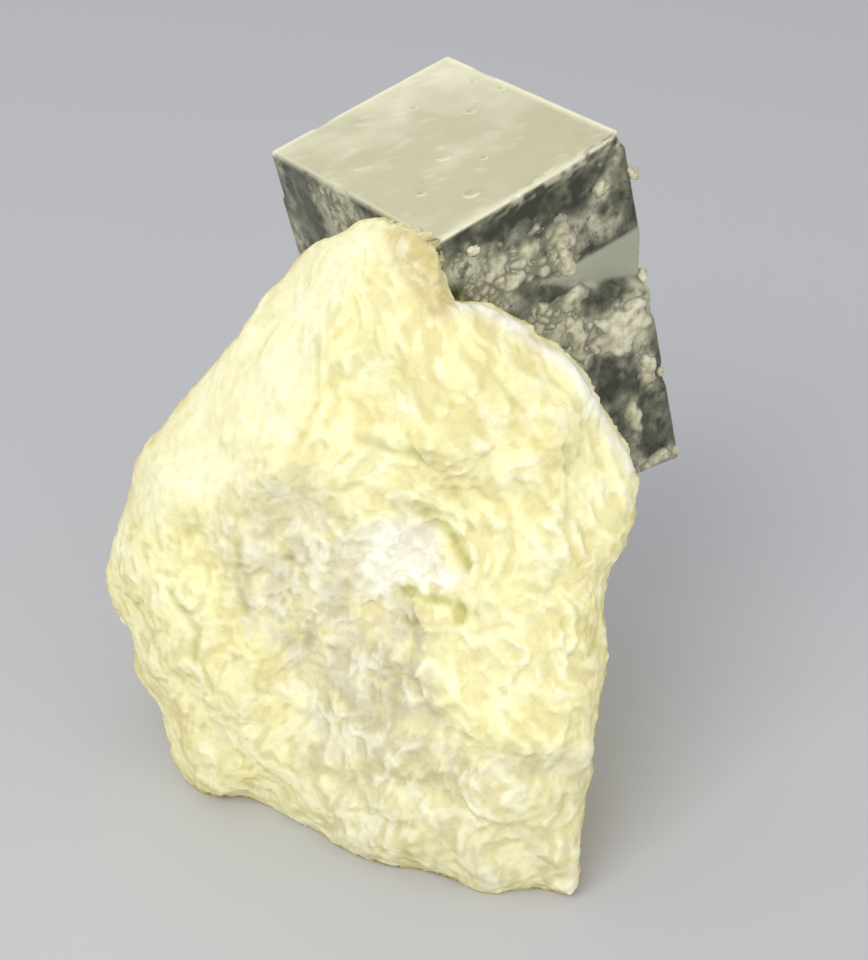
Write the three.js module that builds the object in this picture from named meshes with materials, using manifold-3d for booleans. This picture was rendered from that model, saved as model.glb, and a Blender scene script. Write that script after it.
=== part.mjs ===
/**
 * Pyrite cube on matrix, in millimetres, +Z up, standing on the plane z = 0.
 *
 * A brassy block of pyrite sits behind and above a wedge of cream marl. The marl is one lump:
 * a broken, shield-shaped front face, and behind it a foot that runs back under the crystal.
 * The block's faces are flat, with the steps, terraces and ledges that its growth left.
 *
 * +X is to the right of the front face, +Y points away from it.
 */
import * as THREE from 'three';
import { ConvexGeometry } from 'three/addons/geometries/ConvexGeometry.js';
import { ImprovedNoise } from 'three/addons/math/ImprovedNoise.js';
import * as BufferGeometryUtils from 'three/addons/utils/BufferGeometryUtils.js';
import Module from 'manifold-3d';

const wasm = await Module();
wasm.setup();

// The crystal. Its own axes start at the front corner of its top face:
// x runs along the right-hand top edge, y along the left-hand one, z up out of the top face.
const CRYSTAL_WIDTH = 20;
const CRYSTAL_DEPTH = 25;
const CRYSTAL_HEIGHT = 35.2;
const CRYSTAL_CORNER = new THREE.Vector3(0, 2.7, 55.8);
const CRYSTAL_TURN = 35.5;
const CRYSTAL_TILT = 14.8;

// What the crystal's growth left out on its front right-hand side, as convex cuts between
// corners [x, y, z]: a sloping facet over a ledge, two nicks in the outer edge, and a slanting
// end where it is broken off at the bottom.
const GROWTH_CUTS = [
  [[8.6, -0.2, -8.9], [21, -0.2, -9.2], [21, 1.5, -15.6], [21, -0.2, -16.6]],
  [[17, -0.1, -17], [21, -0.1, -17], [21, 0.6, -19], [21, -0.1, -20.2], [21, 0.5, -17]],
  [[14, -0.1, -24], [21, -0.1, -22.2], [21, 0.5, -26], [21, -0.1, -27.2]],
  [[8, -1, -32], [8, 5, -36], [8, -1, -36], [21, -1, -35.2], [21, 5, -36], [21, -1, -36]],
];

// Thin growth terraces on the two sides that face away, as spans of the side's own length and
// of its height. Each one reaches the foot of the crystal or one of its upright edges.
const TERRACE_RISE = 0.25;
const RIGHT_TERRACES = [
  { along: [10, CRYSTAL_DEPTH], up: [-CRYSTAL_HEIGHT, -15] },
  { along: [17, CRYSTAL_DEPTH], up: [-27, -6] },
];
const BACK_TERRACES = [
  { along: [0, 13], up: [-CRYSTAL_HEIGHT, -12] },
  { along: [0, 8], up: [-20, -5] },
];

// Places where an edge has been knocked: a slanted box with its middle at `at`, turned in degrees.
const CHIPS = [
  { at: [20.3, -0.3, -0.5], turn: [35, 40, 20], sides: [1.9, 1.9, 1.9] },
  { at: [16.8, -0.75, -0.9], turn: [0, 8, 3], sides: [5.2, 1.8, 2.2] },
  { at: [6, 25.25, 0.25], turn: [40, 10, 5], sides: [2.6, 1.1, 1.1] },
  { at: [-0.25, 14, 0.25], turn: [5, 45, 8], sides: [0.8, 2.2, 0.8] },
  { at: [20.1, 19, 0.3], turn: [0, 40, 0], sides: [0.9, 3, 0.9] },
];

// A clear joint between the stone and the crystal that it holds.
const JOINT = 0.3;

// The marl's front face is drawn in the plane that leans back by this angle. `FACE_OUT` points
// out of that plane, and `FACE_UP` runs up it, so a place on the face is [x, distance up].
const FACE_LEAN = THREE.MathUtils.degToRad(30);
const FACE_OUT = new THREE.Vector3(0, -Math.cos(FACE_LEAN), Math.sin(FACE_LEAN));
const FACE_UP = new THREE.Vector3(0, Math.sin(FACE_LEAN), Math.cos(FACE_LEAN));

// The stone is swept from its rim to a point on its front and a point on its back.
const STONE_HEART = new THREE.Vector3(-5, 5.5, 24.5);
const FRONT_POINT = new THREE.Vector3(-3, -4.5, 30);
const BACK_POINT = new THREE.Vector3(-1, 36, 7);
const FRONT_SQUARENESS = 0.85;
const BACK_SQUARENESS = 1;
const STONE_DETAIL = 20;

// The rim of the stone, [x, y, z], clockwise from the crystal's front corner.
const RIM = [
  [0.2, 2.2, 56], [0.6, 2.8, 52.2], [1.2, 2.9, 50.8], [4.4, 4.4, 50], [7.9, 5.1, 46.8],
  [11.8, 5.4, 43.5], [12.9, 5.2, 41.2], [14.8, 4.9, 38.6], [16.6, 4, 35], [16.6, 3.2, 32.8],
  [16, 1.7, 29.3], [14.2, 0.5, 26.2], [14.4, -0.8, 22.5], [14, -3.2, 17.5], [13, -6.6, 8.7],
  [12.4, -9.2, 2.7], [12.4, -9.3, -1], [11.8, -10.1, -1], [9.4, -8.2, -1], [7, -9.3, -1],
  [4, -9.3, -1], [0.4, -6.9, -1], [-5.3, -5.4, -1], [-8, -3.6, -1], [-12.6, 0.1, -1],
  [-18.2, 4.8, -1], [-20.9, 4.1, -1], [-23, 5.1, -1], [-24.5, 5.5, 2.5], [-26, 7.3, 8],
  [-27.9, 7.7, 10.6], [-27.8, 8.1, 13.7], [-29.9, 8.5, 18.9], [-29.7, 8.9, 21.6],
  [-27.5, 9.8, 28.4], [-26.6, 10.3, 31.9], [-22.1, 10, 37.4], [-16.6, 10.2, 44.5],
  [-10.9, 10.2, 52.2], [-7.5, 9.3, 53.9], [-4.8, 8.8, 55.8], [-2.1, 5.5, 55.8],
].map(([x, y, z]) => new THREE.Vector3(x, y, z));

// Where the yellow rind has spalled off the front and shows the grey core, [x, distance up].
const RIND = 0.6;
const CORE_OUTLINE = [
  [-16.3, 28.7], [-11.6, 32.3], [-6, 33.7], [-1.1, 32.3], [1.7, 29.4], [2.6, 26],
  [-0.7, 20], [-1.4, 17.5], [-0.3, 13.4], [4.1, 8.2], [9, 8.3], [14, 7.4],
  [14, -8], [-9, -8], [-12, 12], [-16.6, 20.3],
];

// Under the arch of the core lies a small shelf: a crease behind it, a lip at its lower edge and
// a hollow below the lip.
const SHELF = { x: -2.6, up: 24, wide: 4, tall: 3.6, rise: 0.8 };
const HOLLOWS = [
  { x: 1, up: 19.4, reach: 2.6, depth: 0.7 },
  { x: -4.6, up: 20.2, reach: 2.2, depth: 0.5 },
  { x: 12, up: 31.6, reach: 2.2, depth: 0.4 },
  { x: -13, up: 22, reach: 2.4, depth: 0.5 },
];

// Low folds and creases that cross the rind and the core: lines of [x, distance up], how far
// they rise and how far to each side they reach.
const FOLDS = [
  { rise: 0.7, reach: 2.6, line: [[-6, 49], [-7, 44.5], [-9.4, 39.5], [-9.9, 35.2], [-12.6, 31.6]] },
  { rise: 0.6, reach: 1.8, line: [[-12.6, 31.6], [-16.6, 29.4], [-16, 20.3]] },
  { rise: 0.5, reach: 1.5, line: [[-12.6, 30], [-6, 31.6], [-2.2, 30.6], [0, 28.2]] },
  { rise: -0.5, reach: 2.2, line: [[-20, 27], [-19, 21]] },
  { rise: 0.5, reach: 1.8, line: [[-3, 16], [3, 11], [9.5, 8]] },
  { rise: 0.4, reach: 3, line: [[3, 40], [9, 33], [10, 24]] },
];

// The back and the flanks were broken off more roughly, along a few broad faces. Each face is a
// point on it and the way it looks, and the stone past it is taken off by this share.
const BREAKS = [
  { at: [-23, 17, 22], out: [-0.86, 0.42, 0.28] },
  { at: [-14, 31, 18], out: [-0.5, 0.8, 0.33] },
  { at: [9, 34, 12], out: [0.45, 0.85, 0.25] },
  { at: [14, 11, 10], out: [0.98, -0.1, 0.2] },
  { at: [12.5, 25, 10], out: [0.85, 0.5, 0.15] },
  { at: [-4, 36, 7], out: [-0.1, 0.95, -0.3] },
  { at: [-15, 22, 33], out: [-0.55, 0.5, 0.67] },
].map(({ at, out }) => ({
  at: new THREE.Vector3(...at),
  out: new THREE.Vector3(...out).normalize(),
}));
const BREAK_SHARE = 0.8;

// The grain of the broken marl: round lumps of a few widths, and flat flakes that each tilt
// their own way. Both are calmer at the rim and stronger on the back.
const LUMPS = [
  { width: 12, rise: 0.8 },
  { width: 5, rise: 0.25 },
];
const LUMP_ORIGIN = new THREE.Vector3(-7, -3, -1);
const FLAKE_COUNT = 900;
const FLAKE_TILT = 0.11;
const FLAKE_ROOM = new THREE.Box3(new THREE.Vector3(-32, -14, 0), new THREE.Vector3(22, 40, 60));
const RIM_CALM = 0.25;
const FRONT_CALM_REACH = 0.45;
const BACK_CALM_REACH = 0.4;
const BACK_ROUGHNESS = 2.2;

// The rim is followed exactly at the edge and evened out over this angle inside it.
const RIM_EVENING = THREE.MathUtils.degToRad(14);

/** Turns a closed mesh into a solid that can be joined and cut. */
function toSolid(geometry) {
  const bare = geometry.clone();
  bare.deleteAttribute('normal');
  bare.deleteAttribute('uv');
  const merged = BufferGeometryUtils.mergeVertices(bare, 1e-4);
  return new wasm.Manifold(new wasm.Mesh({
    numProp: 3,
    vertProperties: new Float32Array(merged.attributes.position.array),
    triVerts: new Uint32Array(merged.index.array),
  }));
}

/** Turns a solid back into a geometry with flat faces. */
function toGeometry(solid) {
  const mesh = solid.getMesh();
  const geometry = new THREE.BufferGeometry();
  geometry.setAttribute('position', new THREE.BufferAttribute(mesh.vertProperties, 3));
  geometry.setIndex(new THREE.BufferAttribute(mesh.triVerts, 1));
  const flat = geometry.toNonIndexed();
  flat.computeVertexNormals();
  return flat;
}

/** The convex block between corners given as [x, y, z]. */
function block(corners) {
  return new ConvexGeometry(corners.map(([x, y, z]) => new THREE.Vector3(x, y, z)));
}

/** A box between two opposite corners, [x, y, z], grown on every side by `extra`. */
function slab(low, high, extra) {
  const sides = high.map((value, axis) => value - low[axis] + 2 * extra);
  const middle = high.map((value, axis) => (value + low[axis]) / 2);
  return new THREE.BoxGeometry(...sides).translate(...middle);
}

/** The slanted box that knocks a chip off an edge. */
function chip({ at, turn, sides }) {
  const [x, y, z] = turn.map(THREE.MathUtils.degToRad);
  const geometry = new THREE.BoxGeometry(...sides);
  geometry.applyMatrix4(new THREE.Matrix4().makeRotationFromEuler(new THREE.Euler(x, y, z)));
  return geometry.translate(...at);
}

/** The block with its growth terraces, uncut, grown on every side by `extra`. */
function growth(extra) {
  const sunk = 1;
  const body = slab([0, 0, -CRYSTAL_HEIGHT], [CRYSTAL_WIDTH, CRYSTAL_DEPTH, 0], extra);
  const right = RIGHT_TERRACES.map(({ along, up }, i) => {
    const face = CRYSTAL_WIDTH + TERRACE_RISE * (i + 1);
    return slab([CRYSTAL_WIDTH - sunk, along[0], up[0]], [face, along[1], up[1]], extra);
  });
  const back = BACK_TERRACES.map(({ along, up }, i) => {
    const face = CRYSTAL_DEPTH + TERRACE_RISE * (i + 1);
    return slab([along[0], CRYSTAL_DEPTH - sunk, up[0]], [along[1], face, up[1]], extra);
  });
  return [...right, ...back].reduce((solid, terrace) => solid.add(toSolid(terrace)), toSolid(body));
}

/** The crystal in its own axes: its growth less the cuts and the chips. */
function pyrite() {
  const cuts = [...GROWTH_CUTS.map(block), ...CHIPS.map(chip)];
  return cuts.reduce((solid, cut) => solid.subtract(toSolid(cut)), growth(0));
}

const crystalPose = new THREE.Matrix4().compose(
  CRYSTAL_CORNER,
  new THREE.Quaternion().setFromEuler(new THREE.Euler(
    0,
    THREE.MathUtils.degToRad(-CRYSTAL_TILT),
    THREE.MathUtils.degToRad(CRYSTAL_TURN),
    'ZYX',
  )),
  new THREE.Vector3(1, 1, 1),
);

/** Where a point lies on the drawn face: [x, distance up]. */
function onFace(point) {
  return new THREE.Vector2(point.x, point.dot(FACE_UP));
}

// The direction of each rim point from the stone's heart, on the drawn face.
const heart = onFace(STONE_HEART);
const rimAngles = RIM.map((point) => onFace(point).sub(heart).angle());

/** The rim point in the direction `angle` from the stone's heart. */
function rimAt(angle) {
  for (let i = 0; i < RIM.length; i += 1) {
    const next = (i + 1) % RIM.length;
    const sweep = THREE.MathUtils.euclideanModulo(rimAngles[i] - rimAngles[next], 2 * Math.PI);
    const along = THREE.MathUtils.euclideanModulo(rimAngles[i] - angle, 2 * Math.PI);
    if (along <= sweep) return RIM[i].clone().lerp(RIM[next], along / sweep);
  }
  throw new Error('the rim does not close');
}

/** The rim evened out: the mean of a few rim points on both sides of `angle`. */
function evenRimAt(angle) {
  const mean = new THREE.Vector3();
  const steps = [-1, -0.5, 0, 0.5, 1];
  steps.forEach((step) => mean.add(rimAt(angle + step * RIM_EVENING)));
  return mean.divideScalar(steps.length);
}

/** Distance from `place` to the stretch between `start` and `end`, all [x, distance up]. */
function toStretch(place, start, end) {
  const line = end.clone().sub(start);
  const share = THREE.MathUtils.clamp(place.clone().sub(start).dot(line) / line.lengthSq(), 0, 1);
  return place.distanceTo(start.clone().addScaledVector(line, share));
}

/** Distance from `place` to an open line of points. */
function toLine(place, points) {
  let nearest = Infinity;
  for (let i = 1; i < points.length; i += 1) {
    nearest = Math.min(nearest, toStretch(place, points[i - 1], points[i]));
  }
  return nearest;
}

/** Whether `place` is inside a closed outline. */
function isInside(place, outline) {
  let inside = false;
  outline.forEach((end, i) => {
    const start = outline[(i + outline.length - 1) % outline.length];
    const crosses = (start.y > place.y) !== (end.y > place.y);
    const share = (place.y - start.y) / (end.y - start.y);
    if (crosses && place.x < start.x + share * (end.x - start.x)) inside = !inside;
  });
  return inside;
}

const toPlaces = (points) => points.map(([x, up]) => new THREE.Vector2(x, up));
const core = toPlaces(CORE_OUTLINE);
const folds = FOLDS.map((fold) => ({ ...fold, line: toPlaces(fold.line) }));
const noise = new ImprovedNoise();

/** A repeatable random number from 0 to 1 for each whole number. */
function chance(seed) {
  const value = Math.sin(seed * 127.1 + 311.7) * 43758.5453;
  return value - Math.floor(value);
}

/** A vector of three random numbers from 0 to 1. */
function chanceVector(seed) {
  return new THREE.Vector3(chance(seed), chance(seed + 0.37), chance(seed + 0.71));
}

/** Flat flakes: each has its middle in the stone's room and the way that it tilts. */
const flakes = Array.from({ length: FLAKE_COUNT }, (_, i) => ({
  middle: chanceVector(i).multiply(FLAKE_ROOM.getSize(new THREE.Vector3())).add(FLAKE_ROOM.min),
  tilt: chanceVector(i + FLAKE_COUNT).subScalar(0.5).multiplyScalar(2 * FLAKE_TILT),
}));

/** How far the grain of the marl stands out at `point`. */
function grain(point) {
  let nearest = flakes[0];
  flakes.forEach((flake) => {
    if (point.distanceToSquared(flake.middle) < point.distanceToSquared(nearest.middle)) nearest = flake;
  });
  const flat = point.clone().sub(nearest.middle).dot(nearest.tilt);
  return LUMPS.reduce((sum, { width, rise }) => {
    const { x, y, z } = point.clone().sub(LUMP_ORIGIN).divideScalar(width);
    return sum + rise * noise.noise(x, y, z);
  }, flat);
}

/** A round swelling that is 1 at its middle and 0 from its reach outwards. */
function swelling(distance, reach) {
  return THREE.MathUtils.smoothstep(reach - distance, 0, reach);
}

/** How far the front of the stone stands out at `place` beyond its grain. */
function frontRelief(place) {
  let rise = 0;
  folds.forEach((fold) => {
    rise += fold.rise * swelling(toLine(place, fold.line), fold.reach);
  });
  HOLLOWS.forEach(({ x, up, reach, depth }) => {
    rise -= depth * swelling(place.distanceTo(new THREE.Vector2(x, up)), reach);
  });
  if (isInside(place, core)) {
    const depth = toLine(place, [...core, core[0]]);
    rise -= RIND * THREE.MathUtils.smoothstep(depth, 0, 1);
  }
  const across = (place.x - SHELF.x) / SHELF.wide;
  const down = (SHELF.up - place.y) / SHELF.tall;
  return rise + SHELF.rise * down * swelling(Math.hypot(across, down), 1.1);
}

/** Moves a point that lies past one of the broad broken faces back towards it by a share. */
function breakOff(point, share) {
  BREAKS.forEach(({ at, out }) => {
    const beyond = Math.max(0, point.clone().sub(at).dot(out));
    point.addScaledVector(out, -share * beyond);
  });
}

/** The stone's even surface in the direction `way` from its heart. */
function evenSurface(way) {
  const facing = way.dot(FACE_OUT);
  const angle = Math.atan2(way.dot(FACE_UP), way.x);
  const spread = Math.sqrt(Math.max(0, 1 - facing * facing));
  const squareness = facing > 0 ? FRONT_SQUARENESS : BACK_SQUARENESS;
  const pole = facing > 0 ? FRONT_POINT : BACK_POINT;
  const edge = evenRimAt(angle).lerp(rimAt(angle), THREE.MathUtils.smoothstep(spread, 0.75, 1));
  const point = STONE_HEART.clone();
  point.addScaledVector(edge.sub(STONE_HEART), Math.pow(spread, squareness));
  return point.addScaledVector(pole.clone().sub(STONE_HEART), Math.pow(Math.abs(facing), squareness));
}

/** A closed mesh of the stone before anything is cut from it. */
function roughStone() {
  const sphere = new THREE.IcosahedronGeometry(1, STONE_DETAIL);
  sphere.deleteAttribute('normal');
  sphere.deleteAttribute('uv');
  const geometry = BufferGeometryUtils.mergeVertices(sphere);
  const position = geometry.attributes.position;
  const ways = Array.from({ length: position.count }, (_, i) => (
    new THREE.Vector3().fromBufferAttribute(position, i)
  ));
  const points = ways.map(evenSurface);
  points.forEach((point, i) => position.setXYZ(i, point.x, point.y, point.z));
  geometry.computeVertexNormals();
  const outward = new THREE.Vector3();
  points.forEach((point, i) => {
    const facing = ways[i].dot(FACE_OUT);
    const calmReach = facing > 0 ? FRONT_CALM_REACH : BACK_CALM_REACH;
    const calm = THREE.MathUtils.smoothstep(Math.abs(facing), 0, calmReach);
    outward.fromBufferAttribute(geometry.attributes.normal, i);
    const roughness = THREE.MathUtils.lerp(RIM_CALM, facing > 0 ? 1 : BACK_ROUGHNESS, calm);
    const relief = facing > 0 ? frontRelief(onFace(point)) * calm : 0;
    if (facing < 0) breakOff(point, BREAK_SHARE * calm);
    point.addScaledVector(outward, grain(point) * roughness + relief);
    position.setXYZ(i, point.x, point.y, point.z);
  });
  return geometry;
}

/** The marl: one lump, flat underneath, with a seat for the crystal. */
function marl() {
  const side = 100;
  const room = new THREE.BoxGeometry(side, side, side).translate(0, 0, side / 2);
  return toSolid(roughStone()).intersect(toSolid(room)).subtract(crystalSeat());
}

/** The seat that the crystal takes in the stone: its block, larger by the joint. */
function crystalSeat() {
  return toSolid(toGeometry(growth(JOINT)).applyMatrix4(crystalPose));
}

const marlMaterial = new THREE.MeshStandardMaterial({ color: 0xe8dda0, roughness: 0.95, metalness: 0 });
const pyriteMaterial = new THREE.MeshStandardMaterial({ color: 0xcdc8a5, roughness: 0.3, metalness: 1 });

const matrix = new THREE.Mesh(toGeometry(marl()), marlMaterial);
matrix.name = 'matrix';

const cube = new THREE.Mesh(toGeometry(pyrite()), pyriteMaterial);
cube.name = 'pyrite_cube';
cube.applyMatrix4(crystalPose);

const specimen = new THREE.Group();
specimen.add(matrix, cube);

export default specimen;
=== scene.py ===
# %% [markdown]
# # Pyrite cube on matrix
# A brassy block of pyrite stands behind and above a broken wedge of cream marl. The two grew
# together, so nothing on the specimen moves, and every piece rides on the one body, "root".
# The frame gives both shapes at their real size. This script dresses them: the marl gets its
# broken, flaky surface and its colours, with painted shade and highlights, and the crystal its
# growth marks, its tarnish with painted shade, sheen and glints, and the crusts of marl that
# still cling to it.

# %% Load the frame
import math

import bpy
import numpy as np
from mathutils import Matrix, Vector, noise
from mathutils.bvhtree import BVHTree


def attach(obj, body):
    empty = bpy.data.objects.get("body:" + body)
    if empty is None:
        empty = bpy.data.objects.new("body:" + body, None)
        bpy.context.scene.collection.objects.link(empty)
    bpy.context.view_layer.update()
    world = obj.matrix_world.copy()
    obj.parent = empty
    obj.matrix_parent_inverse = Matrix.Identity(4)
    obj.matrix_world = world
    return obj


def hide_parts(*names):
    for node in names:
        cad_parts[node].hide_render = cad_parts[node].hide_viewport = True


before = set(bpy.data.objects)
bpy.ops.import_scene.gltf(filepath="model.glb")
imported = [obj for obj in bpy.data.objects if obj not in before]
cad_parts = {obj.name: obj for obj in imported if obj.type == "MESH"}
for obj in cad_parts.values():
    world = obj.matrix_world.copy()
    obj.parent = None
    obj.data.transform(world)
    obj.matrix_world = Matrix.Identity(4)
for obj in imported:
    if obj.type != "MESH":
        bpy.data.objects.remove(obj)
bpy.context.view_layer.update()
MM = 0.001


# %% [markdown]
# ## Small helpers
# Colours are written as the hex values that a paint chart gives, and Blender wants them linear.
# One function adds a shader node, sets its fields and sockets and joins its links, so that a
# material reads from top to bottom like a recipe.

# %% Colour and node helpers
def linear(code):
    """Turns an sRGB hex colour into Blender's linear colour."""
    values = [int(code[i:i + 2], 16) / 255 for i in (1, 3, 5)]
    curve = [v / 12.92 if v <= 0.04045 else ((v + 0.055) / 1.055) ** 2.4 for v in values]
    return (*curve, 1.0)


def add(tree, kind, settings=None, links=None, **fields):
    """Adds a node: settings fill its sockets, links join them and fields are its options."""
    node = tree.nodes.new(kind)
    for name, value in fields.items():
        setattr(node, name, value)
    for socket, value in (settings or {}).items():
        node.inputs[socket].default_value = value
    for socket, source in (links or {}).items():
        tree.links.new(source, node.inputs[socket])
    return node


def new_material(name):
    """A material with only a Principled shader; returns it, its tree and the shader."""
    material = bpy.data.materials.new(name)
    material.use_nodes = True
    tree = material.node_tree
    return material, tree, tree.nodes["Principled BSDF"]


# %% Object helpers
def clear_selection():
    """Leaves edit mode and deselects everything."""
    if bpy.context.object and bpy.context.object.mode != "OBJECT":
        bpy.ops.object.mode_set(mode="OBJECT")
    bpy.ops.object.select_all(action="DESELECT")


def take(thing):
    """Makes one object the only selected one."""
    clear_selection()
    thing.select_set(True)
    bpy.context.view_layer.objects.active = thing


def edit_all(thing):
    """Opens a piece in edit mode with all of it selected."""
    take(thing)
    bpy.ops.object.mode_set(mode="EDIT")
    bpy.ops.mesh.select_all(action="SELECT")


def split_faces(thing, chosen):
    """Splits only the chosen faces, a flag for each, into four."""
    edit_all(thing)
    bpy.ops.mesh.select_all(action="DESELECT")
    bpy.ops.object.mode_set(mode="OBJECT")
    thing.data.polygons.foreach_set("select", chosen)
    bpy.ops.object.mode_set(mode="EDIT")
    bpy.ops.mesh.subdivide(number_cuts=1)
    clear_selection()


def finish_modifier(thing, kind, **options):
    """Adds a modifier, sets it and applies it to the mesh."""
    take(thing)
    modifier = thing.modifiers.new(kind.lower(), kind)
    for name, value in options.items():
        setattr(modifier, name, value)
    bpy.ops.object.modifier_apply(modifier=modifier.name)


# %% Mesh numbers as rows
def read_rows(items, field):
    """A vector of every vertex or face, such as its place or its normal, one row each."""
    flat = np.empty(len(items) * 3, dtype=np.float32)
    items.foreach_get(field, flat)
    return flat.reshape(-1, 3)


def positions(thing):
    """The vertex places of a mesh, in millimetres."""
    return read_rows(thing.data.vertices, "co").astype(float) / MM


def set_positions(thing, rows):
    """Writes the vertex places of a mesh, from millimetres."""
    thing.data.vertices.foreach_set("co", (rows * MM).astype(np.float32).ravel())
    thing.data.update()


def normals(thing):
    """The way that the surface faces at each vertex."""
    return read_rows(thing.data.vertex_normals, "vector").astype(float)


def store(thing, **masks):
    """Keeps masks, each one number per vertex, under names that a material can read."""
    for name, values in masks.items():
        layer = thing.data.attributes.new(name, "FLOAT", "POINT")
        layer.data.foreach_set("value", np.asarray(values, dtype=np.float32))
    print(thing.name, "carries:", ", ".join(masks))


def print_range(name, heights):
    """Prints the lowest and the highest of some heights in mm."""
    print(name, "from", round(heights.min(), 2), "to", round(heights.max(), 2), "mm")


def smoothstep(low, high, values):
    """0 up to low and 1 from high on, with a soft rise between. With low above high it falls."""
    share = np.clip((values - low) / (high - low), 0, 1)
    return share * share * (3 - 2 * share)


# %% [markdown]
# ## The camera
# The specimen is seen from the front and from 30 degrees above, with a short telephoto lens, so
# that the crystal's flat top shows as a full diamond and the marl's broken front faces the eye.

# %% Camera
LOOK_HEIGHT = 35.6
LOOK_ANGLE = math.radians(30)
LOOK_DISTANCE = 166.67
camera_data = bpy.data.cameras.new("camera")
camera_data.lens = 75
camera_data.sensor_width = 36
camera = bpy.data.objects.new("camera", camera_data)
bpy.context.collection.objects.link(camera)
camera.location = Vector((0, -math.cos(LOOK_ANGLE), math.sin(LOOK_ANGLE))) * LOOK_DISTANCE * MM
camera.location.z += LOOK_HEIGHT * MM
camera.rotation_euler = (math.pi / 2 - LOOK_ANGLE, 0, 0)
bpy.context.scene.camera = camera
print("camera at, mm:", [round(value / MM, 1) for value in camera.location])


# %% [markdown]
# ## Noise for stone
# Broken marl is not evenly rough. It splits along flakes a few millimetres wide, each tilted its
# own way, and between them stands a net of thin ridges with shallow hollows. Three kinds of noise
# draw that: soft lumps, thin ridges, and flat tilted flakes. Blender's vector noise, which tilts
# the flakes, starts from a random offset, so its seed is fixed and every run gives the same stone.

# %% Noise functions
NOISE_SEED = 1
SEED_SPREAD = 0.37
RIDGE_SHARE = 0.24
RIDGE_POWER = 1.3
TILT_SPREAD = 7.3
noise.seed_set(NOISE_SEED)


def lumps(places, width, seed):
    """Soft lumps of about the given width in mm, mostly from -0.5 to 0.5."""
    shift = Vector((seed, seed * SEED_SPREAD, -seed))
    return np.array([noise.noise(Vector(row) / width + shift) for row in places])


def layers(places, *parts):
    """Lumps of several sizes added up. Each part is its height, its width in mm and its seed."""
    return sum(height * lumps(places, width, seed) for height, width, seed in parts)


def thin_ridges(places, width, seed):
    """A net of thin ridges, 1 on a ridge and 0 in the hollows between."""
    return np.clip(1 - np.abs(lumps(places, width, seed)) / RIDGE_SHARE, 0, 1) ** RIDGE_POWER


def flakes(places, width, seed):
    """Heights in mm of flat flakes of about the given width, each tilted its own way."""
    heights = np.empty(len(places))
    shift = Vector((seed, seed, seed))
    for i, row in enumerate(places):
        point = Vector(row) / width
        middle = noise.voronoi(point)[1][0]
        tilt = noise.noise_vector(middle * TILT_SPREAD + shift)
        heights[i] = (point - middle).dot(tilt) * width
    return heights


# %% [markdown]
# ## Where the marl's front has its features
# The front of the stone is read like a drawing on a slope that leans back by the camera's angle:
# the first number is millimetres to the right and the second millimetres up the slope. A yellow
# rind covers most of it. In the middle and at the foot the rind has spalled off and shows a grey
# core, and right under an arched break the freshest surface is almost white. The bevel is the
# smooth slope along the upper left edge, painted paler as a highlight where it faces the lamp. A
# tan colour under the peak is partly a stain and partly painted shade under the crystal's corner,
# and a raised lip runs down from it on the right, painted paler as a highlight along its edge.

# %% Feature places
UP_SLOPE = np.array([0, math.sin(LOOK_ANGLE), math.cos(LOOK_ANGLE)])
OUT_OF_SLOPE = np.array([0, -math.cos(LOOK_ANGLE), math.sin(LOOK_ANGLE)])
ARCH_MIDDLE = (-2.8, 24)
CORE_OUTLINE = [
    (-18, 28), (-15.2, 32.2), (-9.4, 31.4), (-7, 26.6), (-2.8, 22.5), (0.3, 18.6),
    (-0.3, 13.4), (2, 9.8), (4.4, 7.6), (9, 8.6), (14, 8.4), (14, -8), (-9, -8),
    (-12, 5), (-11, 13.4), (-17, 18.3),
]
WHITE_OUTLINE = [
    (-6.7, 26.3), (-3.2, 27.8), (-0.7, 26.8), (0.7, 23.9), (2.5, 22.6), (0.4, 21.9),
    (-1.7, 22.6), (-3.9, 21.6), (-5.6, 23.8),
]
BEVEL_OUTLINE = [
    (-2, 53), (-10, 53), (-30, 33), (-31, 26), (-23, 27.5), (-15, 31.5), (-10.5, 37),
    (-7.5, 46),
]
STAIN_OUTLINE = [(-5, 51), (0.6, 50.5), (1.4, 47), (1.6, 43.8), (-0.6, 43.6), (-2.6, 47.5)]
LIP_LINE = [(0.6, 44.5), (3.9, 44.7), (7.3, 42.5), (11.2, 39.7), (14.1, 35.3), (15.9, 31.8)]

# %% Creases and pits
# Each crease: its line, half its width and its depth.
CREASES = [
    ([(-3.2, 29), (-1.2, 28.1), (0.7, 26.7), (1.8, 25.1), (2.7, 23.8)], 0.7, 0.28),
    ([(-6.2, 34), (-1.4, 32.9), (1.6, 30.4), (3, 26.8)], 0.5, 0.2),
    ([(-12.3, 24), (-12.6, 21)], 0.5, 0.22),
    ([(-16.4, 25.6), (-16.8, 22.6), (-16.2, 19.6)], 0.6, 0.22),
    ([(-9.6, 42.4), (-9.2, 37.4), (-11.4, 33.4)], 0.5, 0.18),
    ([(0.2, 43.2), (3.7, 43.3), (6.6, 41.3), (10.1, 38.5)], 0.7, 0.12),
    ([(4.2, 39.8), (7.4, 36.2), (8.4, 32.6)], 0.45, 0.2),
    ([(-22.6, 21), (-20.4, 17.8), (-20.8, 14.6)], 0.5, 0.25),
]
# Each pit: its place across and up the slope, half its width, half its height and its depth.
PITS = [
    (-1.8, 21.5, 1.0, 0.7, 0.4), (0.2, 20.8, 1.3, 0.6, 0.3), (1.9, 19.9, 0.7, 1.1, 0.45),
    (3.6, 20.1, 0.4, 0.7, 0.3), (-2.1, 19.1, 1.3, 0.5, 0.3), (-21, 26.5, 1.5, 1.0, 0.2),
    (10.3, 31.8, 1.7, 0.8, 0.2), (12.3, 26.6, 1.6, 0.9, 0.2), (9.9, 12.7, 1.6, 0.8, 0.18),
    (3.6, 16.2, 1.0, 0.7, 0.2), (-8.6, 26.4, 1.2, 0.7, 0.15), (6.4, 23.4, 1.3, 0.7, 0.15),
]


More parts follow.
